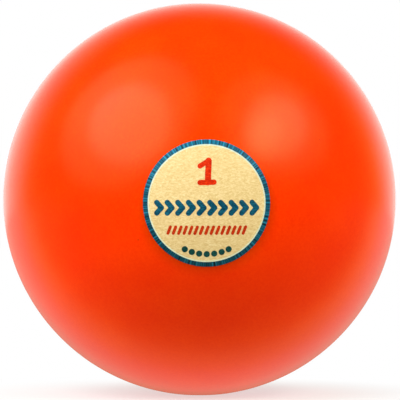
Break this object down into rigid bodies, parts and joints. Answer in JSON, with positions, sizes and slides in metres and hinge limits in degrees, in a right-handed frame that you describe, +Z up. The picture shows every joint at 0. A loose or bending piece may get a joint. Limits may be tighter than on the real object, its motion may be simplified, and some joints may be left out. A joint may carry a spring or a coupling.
{
  "type": "practice shot put",
  "caption": "Soft practice shot put: hollow PVC ball with a sand filling, a snap-in filler plug at the back and a round printed label on the front.",
  "frame": {"origin": "centre of the ball", "axes": "+Z up; -Y out through the middle of the label, towards the camera; +Y out through the filler plug at the back; +X to the right as the label is read"},
  "size_m": [0.1078, 0.1078, 0.1076],
  "materials": {
    "soft_pvc": "satin",
    "dry_sand": "matte",
    "plug_pvc": "satin",
    "label_cream": "satin",
    "label_teal": "satin",
    "label_red": "satin"
  },
  "bodies": {
    "root": {"shell": "soft_pvc", "sand_filling": "dry_sand", "filler_plug": "plug_pvc", "label_field": "label_cream", "label_border": "label_teal"}
  },
  "joints": []
}
